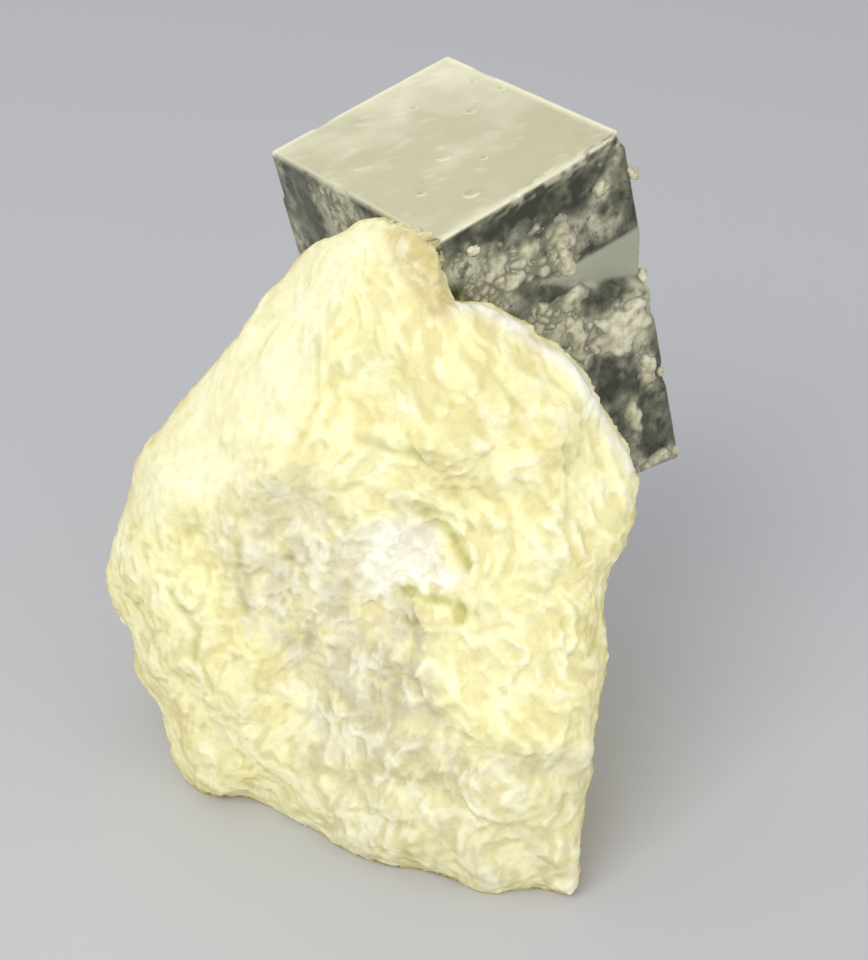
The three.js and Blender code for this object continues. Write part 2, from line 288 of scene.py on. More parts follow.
# %% Distances on a flat drawing
def to_line(places, line):
    """Distance in mm from each place to an open line."""
    nearest = np.full(len(places), np.inf)
    for start, end in zip(line, line[1:]):
        start, along = np.array(start), np.subtract(end, start)
        share = np.clip((places - start) @ along / (along @ along), 0, 1)
        gap = places - start - share[:, None] * along
        nearest = np.minimum(nearest, np.hypot(gap[:, 0], gap[:, 1]))
    return nearest


def depth_inside(places, outline):
    """Distance in mm inside a closed outline, negative outside it."""
    within = np.zeros(len(places), dtype=bool)
    for start, end in zip(outline, outline[1:] + outline[:1]):
        crosses = (start[1] > places[:, 1]) != (end[1] > places[:, 1])
        rise = (end[1] - start[1]) or 1  # a level edge crosses nothing, so its rise isn't used
        at = start[0] + (places[:, 1] - start[1]) / rise * (end[0] - start[0])
        within ^= crosses & (places[:, 0] < at)
    gap = to_line(places, outline + outline[:1])
    return np.where(within, gap, -gap)


# %% [markdown]
# ## The crystal's own axes
# The crystal is turned and tilted. Its growth marks and the crusts on it are easier to place in
# its own axes, which start at the corner of its top that is nearest to the eye: x runs along the
# right-hand top edge, y along the left-hand one and z out of its top.

# %% Crystal axes
CRYSTAL_SIDES = np.array([20.0, 25.0, 35.2])
CRYSTAL_TURN = math.radians(35.5)
CRYSTAL_TILT = math.radians(14.8)
CRYSTAL_CORNER = np.array([0, 2.7, 55.8])
crystal_axes = np.array(
    Matrix.Rotation(CRYSTAL_TURN, 3, "Z") @ Matrix.Rotation(-CRYSTAL_TILT, 3, "Y"))
crystal_middle = CRYSTAL_SIDES * (0.5, 0.5, -0.5)


def to_crystal(places):
    """Places in mm in the crystal's own axes."""
    return (places - CRYSTAL_CORNER) @ crystal_axes


def from_crystal(places):
    """Places in mm from the crystal's own axes back to the frame's."""
    return places @ crystal_axes.T + CRYSTAL_CORNER


# %% [markdown]
# ## The marl
# The stone could be sculpted, but its broad shape is already in the frame. So a copy of that
# shape is remeshed into small even faces and its surface is moved in and out by the noise above.
# The ridges run their own way in each part: fanned down from the peak, in arcs around the arched
# break, aslant on the lower right and in short steep strokes at the foot. So each part reads the
# noise from stretched or bent axes.

# %% Copy a frame shape
def copy_of(node, name):
    """A merged copy of a frame shape, at the origin, that may be reshaped freely."""
    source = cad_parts[node]
    twin = source.copy()
    twin.data = source.data.copy()
    twin.name = name
    twin.data.name = name
    bpy.context.collection.objects.link(twin)
    twin.parent = None
    twin.matrix_world = source.matrix_world
    take(twin)
    bpy.ops.object.transform_apply(location=True, rotation=True, scale=True)
    edit_all(twin)
    bpy.ops.mesh.remove_doubles(threshold=1e-6)
    clear_selection()
    return twin


# %% Remesh the marl
MARL_VOXEL = 0.52
stone = copy_of("matrix", "broken_marl")
finish_modifier(stone, "REMESH", mode="VOXEL", voxel_size=MARL_VOXEL * MM)
finish_modifier(stone, "SMOOTH", factor=0.5, iterations=6)
print("marl faces after the remesh:", len(stone.data.polygons))

# %% [markdown]
# The front is what the eye studies, so its faces are split once more, and the back keeps the
# coarser ones. That spends the triangles where they show.

# %% Finer faces on the front
FRONT_LEAN = 0.2
split_faces(stone, read_rows(stone.data.polygons, "normal") @ OUT_OF_SLOPE > FRONT_LEAN)
finish_modifier(stone, "SMOOTH", factor=0.5, iterations=4)
print("marl faces with a finer front:", len(stone.data.polygons))

# %% Places on the slope
# The noises are read at places that are first pushed aside a little by other, wider noises, so
# that no ridge runs too straight.
FRONT_FADE = (0.15, 0.5)
WARP = 1.2
WARP_WIDTH = 4.5
SMALL_WARP = 0.4
SMALL_WARP_WIDTH = 1.3
rows = positions(stone)
outward = normals(stone)
on_slope = np.column_stack([rows[:, 0], rows @ UP_SLOPE])
across, up = on_slope.T
lean = outward @ OUT_OF_SLOPE
frontness = smoothstep(*FRONT_FADE, lean)
warp = np.column_stack([lumps(rows, WARP_WIDTH, seed) for seed in (1.5, 5.1, 9.7)])
small_warp = np.column_stack([lumps(rows, SMALL_WARP_WIDTH, seed) for seed in (2.5, 6.1, 8.7)])
warped = rows + WARP * warp + SMALL_WARP * small_warp
print("marl vertices on the front:", int((frontness > 0.5).sum()), "of", len(rows))

# %% Where each part of the front lies
# Each pair goes from none of the part to all of it, in mm across, up or from its middle.
ARCH_REACH = (13, 9)
ARCH_FOOT = (19, 24)
FAN_FOOT = (31, 37)
FAN_TOP = (53, 46)
SLANT_LEFT = (-1, 3)
SLANT_FOOT = (6, 10)
STROKES_TOP = (20, 15)
from_arch = on_slope - ARCH_MIDDLE
arch_reach = np.hypot(from_arch[:, 0], from_arch[:, 1])
arch_turn = np.arctan2(from_arch[:, 1], from_arch[:, 0])
in_arcs = smoothstep(*ARCH_REACH, arch_reach) * smoothstep(*ARCH_FOOT, up) * frontness
in_fan = smoothstep(*FAN_FOOT, up) * smoothstep(*FAN_TOP, up) * (1 - in_arcs) * frontness
in_slant = smoothstep(*SLANT_LEFT, across) * smoothstep(*SLANT_FOOT, up)
in_slant = in_slant * (1 - in_fan) * (1 - in_arcs) * frontness
in_strokes = smoothstep(*STROKES_TOP, up) * (1 - in_slant) * frontness
# The relief is crisp around the middle of the front and loses up to half its height away from it.
CRISP_MIDDLE = (1, 19)
CRISP_REACH = (9, 19)
CRISP_LOSS = 0.5
CRISP_SQUASH = 0.8
from_crisp = np.hypot(across - CRISP_MIDDLE[0], CRISP_SQUASH * (up - CRISP_MIDDLE[1]))
crisp = 1 - CRISP_LOSS * smoothstep(*CRISP_REACH, from_crisp) * frontness
shares = [in_arcs, in_fan, in_slant, in_strokes]
print("share of arcs, fan, slant and strokes:", [round(share.mean(), 2) for share in shares])

# %% Axes for each part
# A span is how many mm of noise a turn of one radian covers. A stretch is how many times the
# ridges are drawn out along their run.
ARC_SPAN = 3.2
FAN_MIDDLE = (-7, 52)
FAN_SPAN = 14
FAN_STRETCH = 2.6
SLANT_STRETCH = 2.8
STROKE_STRETCH = 2.4
STROKE_LEAN = 0.4
flowing = rows + 1.5 * warp + 0.2 * small_warp
out_of_slope = flowing @ OUT_OF_SLOPE
slope_x = flowing[:, 0]
slope_up = flowing @ UP_SLOPE
bent = np.column_stack([arch_reach + 1.1 * warp[:, 0], arch_turn * ARC_SPAN, out_of_slope])
fan_turn = np.arctan2(slope_x - FAN_MIDDLE[0], FAN_MIDDLE[1] - slope_up)
fan_reach = np.hypot(slope_x - FAN_MIDDLE[0], FAN_MIDDLE[1] - slope_up)
fanned = np.column_stack([FAN_SPAN * fan_turn, fan_reach / FAN_STRETCH, out_of_slope])
slanted = np.column_stack([
    (slope_x + slope_up) * math.sqrt(0.5),
    (slope_x - slope_up) * math.sqrt(0.5) / SLANT_STRETCH,
    out_of_slope,
])
leaning = slope_x - STROKE_LEAN * slope_up
strokes = np.column_stack([leaning, slope_up / STROKE_STRETCH, out_of_slope])
PART_SEED = 3


def in_parts(kind, width, seed):
    """One kind of noise with each part of the front in its own axes."""
    values = kind(warped, width, seed)
    for places, share in zip((bent, fanned, slanted, strokes), shares):
        values = values + share * (kind(places, width, seed + PART_SEED) - values)
    return values


# %% Fine relief
# Ropes are the wider ridges and threads the thinner ones. Both fade out here and there.
ROPE_WIDTH = 2.2
ROPE_HEIGHT = 0.2
THREAD_WIDTH = 1.1
THREAD_HEIGHT = 0.16
RIDGE_GAPS = (-0.5, 0.1)
RIDGE_MEAN = 0.28
DENT_WIDTH = 0.95
DENT_DEPTH = 0.1
DENT_FADE = (0.0, 0.35)
DENT_MEAN = 0.4
rope_gaps = smoothstep(*RIDGE_GAPS, lumps(rows, 3.0, 23.0))
thread_gaps = smoothstep(*RIDGE_GAPS, lumps(rows, 1.6, 25.0))
ropes = in_parts(thin_ridges, ROPE_WIDTH, 2.0) * rope_gaps
threads = in_parts(thin_ridges, THREAD_WIDTH, 12.0) * thread_gaps
fine = ROPE_HEIGHT * (ropes - RIDGE_MEAN) + THREAD_HEIGHT * (threads - RIDGE_MEAN)
fine += 0.07 * lumps(rows, 0.8, 12.0)
fine += 0.09 * flakes(warped, 3.0, 2.0) + 0.08 * flakes(warped, 1.4, 6.0)
dents = smoothstep(*DENT_FADE, in_parts(lumps, DENT_WIDTH, 27.0) + 0.3 * lumps(rows, 3.0, 29.0))
dents *= frontness
fine = fine * crisp - DENT_DEPTH * (dents - DENT_MEAN * frontness)
print_range("fine relief", fine)

# %% Rough relief
# The weathered sides are rougher and split in flat layers. They calm down where they come to the
# outline that the eye sees, which is smooth.
LAYER_STRETCH = (0.35, 0.35, 1)
LAYER_MEAN = 0.3
OUTLINE_LEAN = (-0.6, -0.1)
OUTLINE_CALM = 0.6
layered = thin_ridges(warped * LAYER_STRETCH, 2.2, 16.0)
rough = 0.18 * flakes(warped, 6.0, 8.0) + 0.3 * (layered - LAYER_MEAN)
rough += 0.4 * lumps(warped, 3.2, 19.0)
rough *= 1 - OUTLINE_CALM * smoothstep(*OUTLINE_LEAN, lean)
print_range("rough relief", rough)

# %% Where each colour lies
# Each fade goes from none of the colour to all of it, in mm inside the outline. The outlines
# wobble and follow the fine relief, of which RELIEF_PER_MM moves them by 1 mm. The core is
# fainter at its foot and at its top.
CORE_FADE = (-1.2, 1.6)
CORE_FOOT = (2, 12)
CORE_TOP = (25, 30)
WHITE_FADE = (-0.8, 0.6)
BEVEL_FADE = (-1.5, 1.5)
STAIN_FADE = (-0.7, 0.7)
LIP_HALF_WIDTH = 0.5
RELIEF_PER_MM = 0.4
wobbly = on_slope + 0.8 * warp[:, :2] + fine[:, None] / RELIEF_PER_MM


def inside(outline, fade):
    """1 inside an outline on the slope and 0 outside it, with a faded edge."""
    return smoothstep(*fade, depth_inside(wobbly, outline))


core = inside(CORE_OUTLINE, CORE_FADE) * frontness * (0.55 + 0.45 * smoothstep(*CORE_FOOT, up))
core *= 1 - 0.45 * smoothstep(*CORE_TOP, up)
white = inside(WHITE_OUTLINE, WHITE_FADE) * frontness
on_bevel = inside(BEVEL_OUTLINE, BEVEL_FADE)
# The bevel is also painted paler, a painted highlight where it faces the lamp.
bevel = on_bevel * frontness
# The tan under the peak is partly a stain and partly painted shade under the crystal's corner.
stain = inside(STAIN_OUTLINE, STAIN_FADE) * frontness
# The lip is a raised rim that is also painted paler, a painted highlight along its edge.
from_lip = to_line(on_slope + 0.3 * warp[:, :2], LIP_LINE)
lip = np.exp(-(from_lip / LIP_HALF_WIDTH) ** 2) * frontness
print("share of core and white:", round(core.mean(), 3), round(white.mean(), 3))

# %% All the relief
BEVEL_CALM = 0.7
WHITE_CALM = 0.3
LIP_HEIGHT = 0.2
relief = fine * (1 - BEVEL_CALM * on_bevel) * (1 - WHITE_CALM * white)
relief += 0.25 * lumps(rows, 6.0, 3.0) + 0.4 * lumps(warped, 3.6, 5.0) * (1 - crisp) * frontness
relief += LIP_HEIGHT * lip + rough * (1 - frontness)
creased = on_slope + 0.5 * warp[:, :2]
pitted = np.zeros(len(rows))
for line, half_width, depth in CREASES:
    pitted += depth * np.exp(-(to_line(creased, line) / half_width) ** 2)
for x, height, half_width, half_height, depth in PITS:
    aside, above = (creased - (x, height)).T
    spread = (aside / half_width) ** 2 + (above / half_height) ** 2
    pitted += depth * np.exp(-spread ** 1.5)
pitted *= frontness
shaped = rows + outward * (relief - pitted)[:, None]
print_range("all relief", relief - pitted)

# %% [markdown]
# The frame leaves a narrow joint around the crystal. On the real specimen the two are grown
# together, so the walls of the seat are pushed a little way into the crystal and close the joint.
# The crystal's two hidden sides have low terraces, so the walls lie farther out there.

# %% Close the joint around the crystal
SEAT_DEPTH = 0.5
SEAT_REACH = 0.45
TERRACES = 0.5
from_middle = to_crystal(rows) - crystal_middle
beyond = np.abs(from_middle) - CRYSTAL_SIDES / 2
wall = np.argmax(beyond, axis=1)
index = np.arange(len(rows))
way = np.sign(from_middle[index, wall])
reach = SEAT_REACH + TERRACES * ((way > 0) & (wall < 2))
in_seat = np.nonzero(beyond[index, wall] < reach)[0]
sunk = to_crystal(shaped)
seat_wall = wall[in_seat]
sunk[in_seat, seat_wall] = (
    crystal_middle[seat_wall] + way[in_seat] * (CRYSTAL_SIDES[seat_wall] / 2 - SEAT_DEPTH))
shaped = from_crystal(sunk)
print("marl vertices in the seat:", len(in_seat), "of", len(rows))

# %% Put the marl on its flat base
# What lay within BASE_SKIN of the floor is laid flat on it, and nothing goes below it.
BASE_SKIN = 0.3
shaped[:, 2] = np.where(rows[:, 2] < BASE_SKIN, 0, np.maximum(shaped[:, 2], 0))
set_positions(stone, shaped)
take(stone)
bpy.ops.object.shade_smooth()

# %% Keep the marl's masks
# Painted shade darkens the hollows, pits and creases, and a painted highlight makes thin ridges paler.
HOLLOWS = (0.42, 0.0)
RIDGES = (0.36, 0.8)
PIT_SHADE = (0.06, 0.36)
height_share = 0.3 + 3.2 * fine
hollow = 0.7 * smoothstep(*HOLLOWS, height_share + 0.5 * lumps(rows, 3.5, 44.0))
hollow = np.maximum(hollow, dents * (1 - 0.6 * bevel)) * (1 - 0.35 * bevel)
ridge = smoothstep(*RIDGES, height_share + 0.4 * lumps(rows, 3.0, 47.0))
pit = smoothstep(*PIT_SHADE, pitted)
store(stone, core=core, white=white, bevel=bevel, lip=lip, stain=stain)
store(stone, pit=pit, hollow=hollow, ridge=ridge, weathered=1 - frontness)


# %% [markdown]
# ## The pyrite crystal
# A pyrite face is flat enough to mirror a window, yet it carries growth marks: fine lines, low
# steps and small pits, far too shallow for the frame. The block could be cut from a cube again,
# but the frame has its facet, ledge, nicks and chips. So a copy is laid along its own axes,
# remeshed so that the flat faces stay flat and the edges get a hair of wear, marked, and put back.

# %% Remesh the crystal along its own axes
# A face that lies right on the remesh's grid comes out uneven, so the block is moved off it.
CRYSTAL_VOXEL = 0.26
OFF_GRID = 0.1
crystal = copy_of("pyrite_cube", "pyrite_crystal")
set_positions(crystal, to_crystal(positions(crystal)) + OFF_GRID)
finish_modifier(crystal, "REMESH", mode="VOXEL", voxel_size=CRYSTAL_VOXEL * MM)
print("crystal faces after the remesh:", len(crystal.data.polygons))

# %% [markdown]
# The remesh draws a slanting face from tiny steps. So the vertices that aren't on one of the
# block's own flat faces are put in a group, and only those are smoothed.

# %% Smooth the slanting cuts
STRAIGHT = 0.985
slanting = np.abs(normals(crystal)).max(axis=1) < STRAIGHT
group = crystal.vertex_groups.new(name="slanting")
group.add(np.nonzero(slanting)[0].tolist(), 1.0, "REPLACE")
finish_modifier(crystal, "SMOOTH", factor=0.5, iterations=3, vertex_group="slanting")
crystal.vertex_groups.clear()
print("crystal vertices on slanting cuts:", int(slanting.sum()))

# %% [markdown]
# The top is the one clean mirror on the specimen, and every scratch in it shows. So its faces are
# split once more before they are marked.

# %% Finer faces on the top
TOP_BAND = 0.8
TOP_LEAN = 0.3
face_heights = read_rows(crystal.data.polygons, "center")[:, 2]
face_leans = read_rows(crystal.data.polygons, "normal")[:, 2]
split_faces(crystal, (face_heights > -TOP_BAND * MM) & (face_leans > TOP_LEAN))
local = positions(crystal) - OFF_GRID
facing = normals(crystal)
print("crystal faces with a finer top:", len(crystal.data.polygons))

# %% Which face each vertex is on
# The front right side is drawn in mm across and down. FRONT_DEPTH reaches past the facet and the
# ledge behind it, and FRONT_MARGIN leaves out its top and left-hand edges.
ON_FACE = 0.5
TOP_DEPTH = 1
FRONT_DEPTH = 1.7
FRONT_MARGIN = 0.2
FACET_OUTLINE = [(8.6, 8.9), (20.4, 9.2), (20.4, 15.2)]
FACET_FADE = (-0.15, 0.35)
LEDGE_OUTLINE = [(8.4, 8.7), (20.4, 15.0), (20.4, 16.0), (14.5, 12.8)]
LEDGE_FADE = (-0.15, 0.25)
FLAT_FADE = (0.9, 0.99)
on_top = (facing[:, 2] > ON_FACE) & (local[:, 2] > -TOP_DEPTH)
on_side = np.column_stack([local[:, 0], -local[:, 2]])
near_front = (local[:, 1] < FRONT_DEPTH) & (on_side > FRONT_MARGIN).all(axis=1)
on_facet = smoothstep(*FACET_FADE, depth_inside(on_side, FACET_OUTLINE)) * near_front
on_ledge = smoothstep(*LEDGE_FADE, depth_inside(on_side, LEDGE_OUTLINE)) * near_front
flat_side = smoothstep(*FLAT_FADE, np.abs(facing[:, :2]).max(axis=1)) * (1 - on_facet)
print("crystal vertices on the top:", int(on_top.sum()), "and the facet:", int((on_facet > 0.5).sum()))

# %% How far each vertex is from an edge
EDGE_FADE = (0.15, 0.9)
above_low = local - (crystal_middle - CRYSTAL_SIDES / 2)
below_high = (crystal_middle + CRYSTAL_SIDES / 2) - local
edge_gap = np.sort(np.minimum(above_low, below_high), axis=1)[:, 1]
off_edge = smoothstep(*EDGE_FADE, edge_gap)
print("crystal vertices close to an edge:", int((off_edge < 0.5).sum()))

# %% Growth marks on the sides
# The two hidden sides, which face along x and y, have plainer faces with higher growth steps.
BEHIND_FADE = (0.5, 0.8)
STEP_WIDTH = 1.1
STEP_STRETCH = (0.25, 0.25, 1)
SIDE_PIT_DEPTH = 0.12
SIDE_PITS = (0.3, 0.5)
behind = smoothstep(*BEHIND_FADE, facing[:, :2].max(axis=1))
steps = np.floor(local[:, 2] / STEP_WIDTH + 1.5 * lumps(local * STEP_STRETCH, 3.0, 21.0)) % 2
side_relief = layers(local, (0.05, 2.4, 1.0), (0.04, 0.9, 2.0))
side_relief = side_relief * (1 - 0.7 * behind) + (0.03 + 0.03 * behind) * (steps - 0.5)
side_relief -= SIDE_PIT_DEPTH * smoothstep(*SIDE_PITS, lumps(local, 1.3, 15.0))
print_range("side relief", side_relief)

# %% Growth marks on the top
# Faint wisps run across the view, and a few round pits have a raised rim. Each pit gets a painted
# glint, a painted highlight on the side towards the eye. AWAY is the way from the eye, along x and y.
AWAY = (0.58, 0.81)
STREAK_STRETCH = (0.45, 1, 1)
WISPS = (0.2, 0.95)
PIT_DEPTH = 0.055
PIT_RIM = 0.03
# Each pit: its place along x and y and its radius.
TOP_PITS = [
    (6.4, 3.4, 0.45), (3.9, 7.1, 0.3), (8.6, 10.2, 0.4), (10.6, 7.1, 0.25), (19, 15.4, 0.3),
    (18.2, 18.6, 0.25), (14.8, 14.5, 0.3), (12.2, 19.6, 0.25), (3.1, 15.2, 0.2),
]
streaks = local @ np.array([[AWAY[1], AWAY[0], 0], [-AWAY[0], AWAY[1], 0], [0, 0, 1]])
streaks = streaks * STREAK_STRETCH
flecks = lumps(streaks, 0.7, 31.0) + 0.8 * lumps(local, 1.4, 34.0) + 0.6 * lumps(local, 4.0, 37.0)
wisps = smoothstep(*WISPS, flecks)
top_relief = 0.015 * wisps + 0.01 * lumps(streaks, 0.6, 33.0)
glints = np.zeros(len(local))
for x, y, radius in TOP_PITS:
    from_x, from_y = (local[:, :2] - (x, y)).T
    spread = np.hypot(from_x, from_y) / radius
    top_relief -= PIT_DEPTH * np.exp(-spread ** 2) - PIT_RIM * np.exp(-((spread - 1.5) / 0.4) ** 2)
    # A painted highlight on each pit's side towards the eye.
    towards_eye = smoothstep(0, -0.9, (from_x * AWAY[0] + from_y * AWAY[1]) / radius)
    glints += 1.3 * towards_eye * np.exp(-((spread - 1.1) / 0.5) ** 2)
relief = side_relief * flat_side + np.where(on_top, top_relief, 0)
print_range("top relief", top_relief)

# %% Worn edges
# The edge over the front right side is the ragged one.
ALONG_EDGE = (0.35, 1, 1)
WEAR = 0.02
NICK_DEPTH = 0.07
NICKS = (-0.1, 0.4)
ragged = smoothstep(6, 10, local[:, 0]) * smoothstep(1.2, 0.3, local[:, 1])
ragged = ragged * (local[:, 2] > -TOP_BAND)
worn = WEAR * lumps(local, 1.6, 41.0) * (1 - off_edge)
nicks = smoothstep(*NICKS, lumps(local * ALONG_EDGE, 0.5, 43.0))
worn -= NICK_DEPTH * nicks * ragged * (1 - off_edge)
marked = local + facing * (relief * off_edge + worn)[:, None]
set_positions(crystal, from_crystal(marked))
take(crystal)
bpy.ops.object.shade_smooth_by_angle(angle=math.radians(55))
print_range("edge wear", worn)


# %% [markdown]
# ## Marl that still clings to the crystal
# Marl fills the lines of the side faces as a thin film, and stands out from them in low crusts
# and a few drops. The film is only a colour, thick where the crusts are. Each crust is a sheet of
# small squares laid just under the crystal's face. Where the marl is thick the sheet rises
# through the face, and elsewhere it stays hidden inside, so that the crust gets an uneven edge.

# %% The sides of the crystal
# Each side: where it starts, the way across it, and how far it goes across and down.
SIDES = {
    "front_right": ((0, 0, 0), (1, 0, 0), (20, 34.8)),
    "front_left": ((0, 25, 0), (0, -1, 0), (25, 34.8)),
    "back_right": ((20, 1.8, 0), (0, 1, 0), (23.2, 34.8)),
    "back_left": ((20, 25, 0), (-1, 0, 0), (20, 34.8)),
}
DOWN = np.array([0, 0, -1])

# %% Where the clinging marl is thick
# Each spot: its place across and down the side, its reach across and down, and its amount. A
# negative amount keeps a place bare.
COVER = {
    "front_right": [
        (5.6, 6.2, 5.6, 3.0, 1.05), (12.0, 7.4, 1.3, 2.8, 1.0), (16.8, 3.8, 1.4, 1.2, 0.7),
        (14.8, 7.6, 2.0, 1.2, 0.35), (11.4, 12.8, 2.0, 1.8, 0.8), (11.5, 17.0, 0.9, 2.6, 0.9),
        (16.2, 18.0, 3.2, 2.6, 1.3), (18.2, 23.6, 0.8, 2.4, 1.1), (15.8, 27.2, 1.0, 2.2, 0.7),
        (17.0, 34.0, 3.0, 1.0, 0.8), (8.6, 12.6, 2.2, 2.2, 0.5), (2.2, 2.6, 2.2, 1.6, 0.35),
        (16.8, 12.4, 3.2, 2.0, -2.2), (12.4, 10.6, 2.6, 0.9, -1.2), (9.0, 1.2, 7.0, 1.3, -0.7),
        (18.2, 30.0, 1.8, 3.2, -0.65), (14.0, 22.4, 1.4, 2.2, -0.8),
        (12.5, 15.5, 4.5, 3.4, 0.45), (14.5, 2.6, 3.2, 1.4, -0.5),
    ],
    "front_left": [
        (10.5, 2.6, 4.6, 3.4, 0.75), (1.2, 4.0, 0.7, 6.0, 0.35), (4.6, 4.0, 1.2, 8.0, -0.6),
    ],
    "back_right": [(11, 34, 14, 4.5, 1.2), (21, 14, 3, 5, 0.9), (3, 20, 3, 9, 0.6)],
    "back_left": [(16, 32, 8, 7, 1.2), (6, 20, 4, 4, 0.8), (18, 6, 3, 4, 0.6)],
}
BARE = -0.3
BARE_BEHIND = -0.75


def spot(u, v, at_u, at_v, reach_u, reach_v, amount):
    """A soft spot on a side: its amount in the middle, falling to nothing past its reach."""
    return amount * np.exp(-((u - at_u) / reach_u) ** 2 - ((v - at_v) / reach_v) ** 2)


def cover(side, u, v):
    """How thickly marl covers a place on one side, about -1 to 1, above 0 where there is some."""
    bare = BARE_BEHIND if side.startswith("back") else BARE
    return bare + sum(spot(u, v, *numbers) for numbers in COVER[side])


# %% The film of marl
FILM_FADE = (-0.45, 0.45)
FACET_BARE = 0.8
film = np.full(len(local), -1.0)
for side, (start, along, _) in SIDES.items():
    on_this = facing @ np.cross(DOWN, along) > ON_FACE
    film = np.where(on_this, cover(side, (local - start) @ along, -local[:, 2]), film)
film = np.where(near_front, cover("front_right", *on_side.T), film)
film += layers(local, (0.5, 7.0, 55.0), (0.4, 2.4, 51.0), (0.4, 1.1, 53.0))
film -= FACET_BARE * on_facet
print("share of the crystal under a film:", round((film > 0).mean(), 2))

# %% Clean places and painted dark reflections
# The hidden sides are bare metal in patches. The front right side has a few darker ones, painted dark
# reflections, most of all a band under its top edge.
CLEAN_FADE = (-0.3, 0.1)
DARK_FADE = (0.1, 0.9)
DARK_SPOTS = [
    (8.5, 1.4, 6.5, 1.6, 0.95), (14.5, 3.4, 2.4, 1.6, 0.75), (13.2, 9.2, 3.0, 0.8, 0.7),
    (14.0, 22.2, 1.6, 2.6, 0.6), (9.0, 11.8, 1.6, 1.2, 0.5), (14.2, 14.6, 1.2, 1.2, 0.4),
]
untarnished = layers(local, (1, 9.0, 71.0), (0.4, 2.0, 73.0), (0.25, 0.8, 75.0))
clean_side = 0.75 * behind * smoothstep(*CLEAN_FADE, untarnished)
dark = sum(spot(*on_side.T, *numbers) for numbers in DARK_SPOTS)
dark += layers(local, (0.8, 1.5, 79.0), (0.8, 0.6, 81.0))
print("clean vertices on the hidden sides:", int((clean_side > 0.5).sum()))

# %% Pale edges with painted highlights
# Worn metal and powdered marl make the edges pale, and painted highlights stand for the glints
# on them: all round the top and most along its back edges, in scrapes below its ragged edge,
# along the edges of the front right side and on the ledge, which also gets a painted reflection.
TOP_EDGE = 0.35
RIM_FADE = (0.16, 0.55)
SIDE_RIM_FADE = (0.05, 0.25)
under_top = local[:, 2] > -TOP_EDGE
along_top = (1 - smoothstep(*RIM_FADE, edge_gap)) * under_top
# Painted highlight along the top's back edges.
back_rim = smoothstep(1.1, 0.3, below_high[:, :2].min(axis=1)) * under_top
patchy_rim = along_top * smoothstep(-0.9, -0.4, lumps(local, 1.2, 61.0))
patchy_rim *= 1 - 0.55 * smoothstep(1.0, 0.4, local[:, 0])
patchy_rim += 0.8 * back_rim
scrapes = lumps(local * ALONG_EDGE, 0.4, 65.0) + 0.6 * lumps(local, 2.2, 66.0)
below_edge = smoothstep(-1.7, -0.3, local[:, 2]) * smoothstep(1.0, 0.3, local[:, 1])
scraped = below_edge * smoothstep(0.05, 0.4, scrapes) * smoothstep(2, 9, local[:, 0])
along_side = (1 - smoothstep(*SIDE_RIM_FADE, edge_gap)) * (local[:, 1] < 0.5)
patchy_side = along_side * smoothstep(-0.1, 0.3, lumps(local, 1.4, 63.0))
# The ledge's paleness is partly dust and partly a painted reflection.
patchy_ledge = on_ledge * smoothstep(-0.35, 0.25, lumps(local, 2.5, 67.0))
# The pits' painted glints are laid on with the pale edges.
glinting = np.clip(glints, 0, 1) * on_top
pale = [patchy_rim, 0.7 * scraped, 0.6 * patchy_side, 0.5 * patchy_ledge, glinting]
pale_edge = np.maximum.reduce(pale)
print("vertices on pale edges:", int((pale_edge > 0.5).sum()))

# %% Painted sheen on the top
# A painted sheen lightens the mirror in patches, most of all on the side away from the eye.
haze = smoothstep(14, 30, local[:, 0] * AWAY[0] + local[:, 1] * AWAY[1])
haze += 1.1 * lumps(local, 5.0, 69.0)
haze += 0.4 * smoothstep(14, 24, local[:, 1]) + 0.6 * lumps(local, 1.8, 39.0)
print("mean haze on the top:", round(haze[on_top].mean(), 2))

# %% Keep the crystal's masks
clean = np.maximum(on_top, clean_side)
dark = smoothstep(*DARK_FADE, dark) * near_front * (1 - on_facet)
# The wisps and the painted sheen lighten the top.
wisp = np.clip(0.35 * wisps + 0.5 * haze, 0, 1) * on_top
store(crystal, clean=clean, facet=on_facet, film=smoothstep(*FILM_FADE, film))
store(crystal, dark=dark, pale_edge=pale_edge, wisp=wisp)

# %% [markdown]
# A crust has to start from the crystal's real face, with its marks, chips and facet. So each
# place of its sheet is dropped straight onto the marked crystal to find how high the face is.

# %% The face under a crust
PROBE_HEIGHT = 2
PROBE_LENGTH = 5
tree = BVHTree.FromPolygons(
    [Vector(row) for row in marked], [tuple(face.vertices) for face in crystal.data.polygons])


def surface_height(place, out):
    """How far the crystal's real surface is above a place on its ideal side, in mm."""
    start = Vector(place + PROBE_HEIGHT * out)
    hit = tree.ray_cast(start, Vector(-out), PROBE_LENGTH)
    return PROBE_HEIGHT - hit[3] if hit[0] else -PROBE_HEIGHT


# %% Crusts
# HIDDEN is how deep a sheet stays under the face where there is no marl, and SHEET_DEPTH is its
# thickness. It starts INSET in from the side's edges, and its outermost RIM is always hidden.
# SUNK is the share of its thickness that a crust starts below the face, so that only thick marl
# comes through. GRIT roughens it and BLOB_RAG makes the outlines of its blobs ragged.
HIDDEN = 0.35
SHEET_DEPTH = 0.4
RIM = 0.1
INSET = 0.4
COBBLE = 1.15
COBBLE_GAP = (0.02, 0.4)
SPREAD_FADE = (0.0, 0.45)
THIN_FADE = 0.24
SUNK = 0.35
GRIT = 0.3
BLOB_RAG = 0.6
BLOB_POWER = 0.7


def cobbles(places, width):
    """Rounded cells of about the given width in mm: 1 on a cell and 0 along the gaps."""
    gaps = np.empty(len(places))
    for i, row in enumerate(places):
        distances = noise.voronoi(Vector(row) / width)[0]
        gaps[i] = distances[1] - distances[0]
    return smoothstep(*COBBLE_GAP, gaps)


